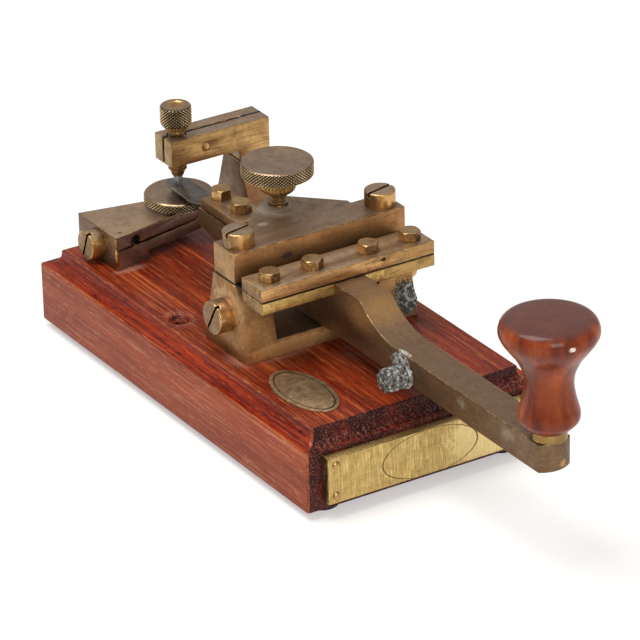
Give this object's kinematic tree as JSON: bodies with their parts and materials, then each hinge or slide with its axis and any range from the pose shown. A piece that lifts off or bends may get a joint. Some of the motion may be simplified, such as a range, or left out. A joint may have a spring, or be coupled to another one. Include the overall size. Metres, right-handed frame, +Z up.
{
  "type": "telegraph key",
  "caption": "Brass telegraph key on a moulded wooden base: a lever hung on a spring-steel sheet, with a turned wooden knob, a tension screw and adjustable contacts at the rear.",
  "frame": {"origin": "middle of the overall footprint, on the floor the feet stand on", "axes": "+Z up, -Y towards the knob, +Y towards the contacts, +X to the key's right when it is seen from the knob"},
  "size_m": [0.094, 0.269, 0.0932],
  "materials": {
    "mahogany": "worn glossy varnish",
    "rubber": "matte",
    "bright_brass": "brushed sheet",
    "aged_brass": "aged, tops brown, fronts brushed",
    "polished_brass": "turned and worn",
    "spring_steel": "dark blued, worn edges",
    "screw_steel": "plain",
    "corroded_metal": "dull with corrosion",
    "silver": "polished contact metal",
    "knob_wood": "lacquered, turned"
  },
  "bodies": {
    "base_unit": {"base": "mahogany", "rubber_feet": "rubber", "nameplate": "bright_brass", "nameplate_pins": "bright_brass", "badge": "bright_brass", "stand": "aged_brass", "stand_screws": "aged_brass", "flexure_sheet": "spring_steel", "bridge": "aged_brass", "bridge_screws": "aged_brass", "stand_terminal_screws": "aged_brass", "rest_block": "aged_brass", "rest_block_screws": "aged_brass", "rest_terminal_screw": "aged_brass", "contact_post": "aged_brass", "post_bolt": "aged_brass", "contact_arm": "aged_brass", "pinch_screw": "aged_brass"},
    "lever": {"lever_arm": "aged_brass", "upper_clamp_bar": "aged_brass", "lower_clamp_bar": "aged_brass", "clamp_bolts": "polished_brass", "lever_bar_screw": "aged_brass", "knob": "knob_wood", "knob_ferrule": "polished_brass", "knob_screw": "screw_steel", "contact_tongue": "spring_steel", "tongue_plate": "aged_brass", "tongue_bolts": "polished_brass", "lever_terminal_screw": "aged_brass", "lever_terminal_lug": "corroded_metal", "return_spring": "spring_steel"},
    "upper_tip_unit": {"upper_contact_tip": "silver"},
    "upper_screw_unit": {"upper_contact_screw": "aged_brass"},
    "rest_tip_unit": {"rest_contact_tip": "silver"},
    "rest_screw_unit": {"rest_contact_screw": "aged_brass"},
    "tension_seat_unit": {"spring_pusher": "aged_brass"},
    "tension_screw_unit": {"tension_screw": "aged_brass"}
  },
  "joints": [
    {"name": "lever_pivot", "type": "hinge", "parent": "base_unit", "child": "lever", "pos_m": [0, 0.01628, 0.05875], "axis": [1, 0, 0], "range_deg": [0, 0.45], "stiffness_Nm_per_rad": 8, "springref_deg": -4.01, "deforming": ["flexure_sheet", "return_spring"]},
    {"name": "upper_contact_travel", "type": "slide", "parent": "base_unit", "child": "upper_tip_unit", "axis": [0, 0, 1], "range_m": [0, 0.003]},
    {"name": "upper_contact_turn", "type": "hinge", "parent": "upper_tip_unit", "child": "upper_screw_unit", "pos_m": [0, 0.11475, 0.0658], "axis": [0, 0, 1], "range_deg": [0, 1080]},
    {"name": "rest_contact_travel", "type": "slide", "parent": "base_unit", "child": "rest_tip_unit", "axis": [0, 0, 1], "range_m": [-0.00125, 0]},
    {"name": "rest_contact_turn", "type": "hinge", "parent": "rest_tip_unit", "child": "rest_screw_unit", "pos_m": [0, 0.11475, 0.039], "axis": [0, 0, 1], "range_deg": [-450, 0]},
    {"name": "tension_travel", "type": "slide", "parent": "base_unit", "child": "tension_seat_unit", "axis": [0, 0, 1], "range_m": [-0.0015, 0.003], "deforming": ["return_spring"]},
    {"name": "tension_turn", "type": "hinge", "parent": "tension_seat_unit", "child": "tension_screw_unit", "pos_m": [0, 0.04595, 0.065], "axis": [0, 0, 1], "range_deg": [-540, 1080]}
  ],
  "couplings": [
    {"joint": "upper_contact_turn", "follows": "upper_contact_travel", "rad_per_m": 6283},
    {"joint": "rest_contact_turn", "follows": "rest_contact_travel", "rad_per_m": 6283},
    {"joint": "tension_turn", "follows": "tension_travel", "rad_per_m": 6283}
  ]
}
